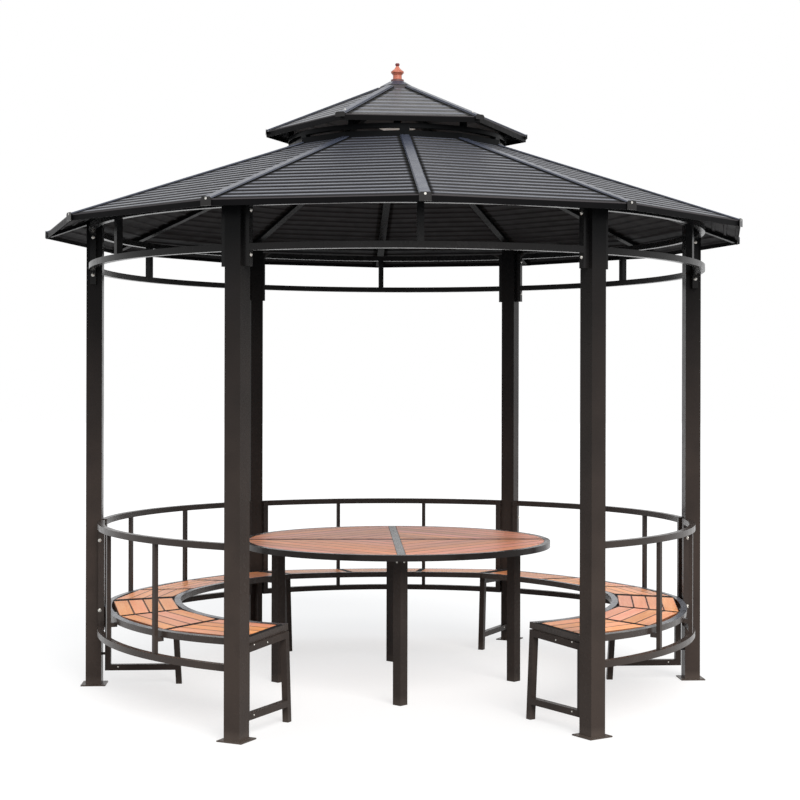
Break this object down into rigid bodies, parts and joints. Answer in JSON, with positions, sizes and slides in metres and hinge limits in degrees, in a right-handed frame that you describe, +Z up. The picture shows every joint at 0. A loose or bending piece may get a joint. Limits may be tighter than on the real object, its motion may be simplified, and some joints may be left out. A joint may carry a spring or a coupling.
{
  "type": "garden gazebo",
  "caption": "Open garden gazebo with a tiered ribbed metal roof on square posts, a curved bench with board seats round the inside and a round board table in the middle.",
  "frame": {"origin": "on the ground at the middle of the gazebo", "axes": "+Z up, -Y out through the entrance, +X to the right of a person who looks in from the front"},
  "size_m": [3.6234, 3.6234, 3.2268],
  "materials": {
    "frame_paint": "satin dark brown",
    "table_paint": "satin dark grey",
    "board_wood": "oiled, orange brown",
    "sheet_paint": "gloss dark grey",
    "drip_paint": "satin dark brown",
    "cap_paint": "satin blue grey",
    "plate_white": "satin white",
    "finial_paint": "satin terracotta"
  },
  "bodies": {
    "root": {"post_front_right": "frame_paint", "post_right": "frame_paint", "post_back_right": "frame_paint", "post_back_left": "frame_paint", "post_left": "frame_paint", "post_front_left": "frame_paint", "valance_front": "frame_paint", "valance_front_right": "frame_paint", "valance_back_right": "frame_paint", "valance_back": "frame_paint", "valance_back_left": "frame_paint", "valance_front_left": "frame_paint", "backrest_front_right": "frame_paint", "backrest_back_right": "frame_paint", "backrest_back": "frame_paint", "backrest_back_left": "frame_paint", "backrest_front_left": "frame_paint", "bench_frame_front_right": "frame_paint", "bench_frame_back_right": "frame_paint", "bench_frame_back": "frame_paint", "bench_frame_back_left": "frame_paint", "bench_frame_front_left": "frame_paint", "seat_boards_front_right": "board_wood", "seat_boards_back_right": "board_wood", "seat_boards_back": "board_wood", "seat_boards_back_left": "board_wood", "seat_boards_front_left": "board_wood", "bench_supports": "frame_paint", "table_frame": "table_paint", "table_boards": "board_wood", "table_legs": "frame_paint", "hip_rafters": "frame_paint", "crown_ring": "frame_paint", "roof_sheets": "sheet_paint", "drip_edges": "drip_paint", "hip_caps": "cap_paint", "upper_frame": "frame_paint", "hub_plate": "plate_white", "upper_sheets": "sheet_paint", "upper_drip_edges": "drip_paint", "upper_hip_caps": "cap_paint", "apex_cap": "cap_paint", "finial": "finial_paint"}
  },
  "joints": []
}
